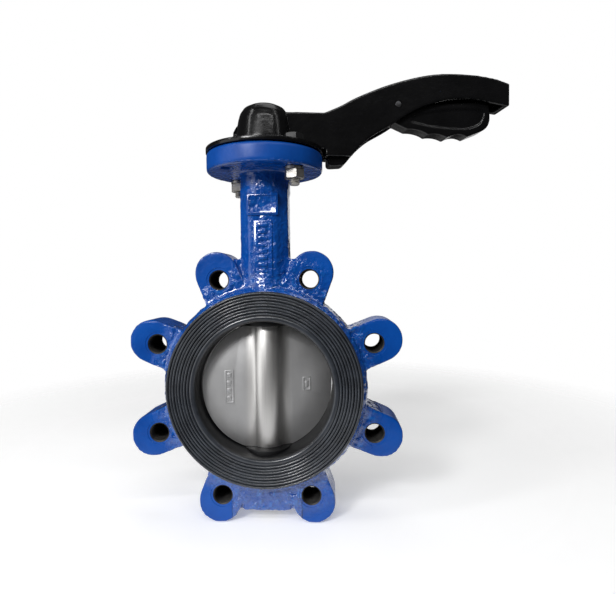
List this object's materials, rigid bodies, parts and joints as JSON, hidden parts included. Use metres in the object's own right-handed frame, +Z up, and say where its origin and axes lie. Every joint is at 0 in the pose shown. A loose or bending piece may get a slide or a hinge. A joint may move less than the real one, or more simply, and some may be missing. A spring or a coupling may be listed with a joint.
{
  "type": "butterfly valve",
  "caption": "Lugged rubber-seated butterfly valve with a stainless disc and a notched squeeze-trigger hand lever.",
  "frame": {"origin": "centre of the bore, where the bore's axis crosses the stem's axis", "axes": "+Z up the stem towards the lever, +Y along the bore, +X the side the lever points to when the valve is shut"},
  "size_m": [0.3017, 0.0912, 0.3503],
  "materials": {
    "blue_epoxy": "glossy fusion-bonded coat over rough casting",
    "black_epoxy": "semi-gloss coat",
    "seat_rubber": "moulded EPDM, slight sheen",
    "seal_rubber": "smooth",
    "stainless": "blasted wings, brushed boss",
    "zinc_steel": "dull zinc plate",
    "spring_steel": "oiled dark steel",
    "bearing_polymer": "smooth"
  },
  "bodies": {
    "valve_body": {"lug_body": "blue_epoxy", "seat_liner": "seat_rubber", "neck_bush_lower": "bearing_polymer", "neck_bush_upper": "bearing_polymer", "bottom_bush": "bearing_polymer", "thrust_washer": "stainless", "stem_o_ring_1": "seal_rubber", "stem_o_ring_2": "seal_rubber", "retaining_ring": "spring_steel", "plug_gasket": "seal_rubber", "bottom_plug": "zinc_steel", "notch_plate": "black_epoxy", "plate_bolt_front": "zinc_steel", "plate_bolt_rear": "zinc_steel", "plate_nut_front": "zinc_steel", "plate_nut_rear": "zinc_steel", "lock_washer_front": "zinc_steel", "lock_washer_rear": "zinc_steel"},
    "stem_set": {"disc": "stainless", "upper_stem": "stainless", "lower_stem": "stainless", "lever": "black_epoxy", "clamp_screw": "spring_steel", "trigger_pin": "spring_steel", "trigger_spring": "spring_steel"},
    "squeeze_trigger": {"trigger": "black_epoxy"}
  },
  "joints": [
    {"name": "lever_turn", "type": "hinge", "parent": "valve_body", "child": "stem_set", "pos_m": [0, 0, 0], "axis": [0, 0, 1], "range_deg": [-10, 80]},
    {"name": "trigger_squeeze", "type": "hinge", "parent": "stem_set", "child": "squeeze_trigger", "pos_m": [0.1034, 0.01823, 0.22], "axis": [0.1736, -0.9848, 0], "range_deg": [-4, 6], "stiffness_Nm_per_rad": 6}
  ]
}
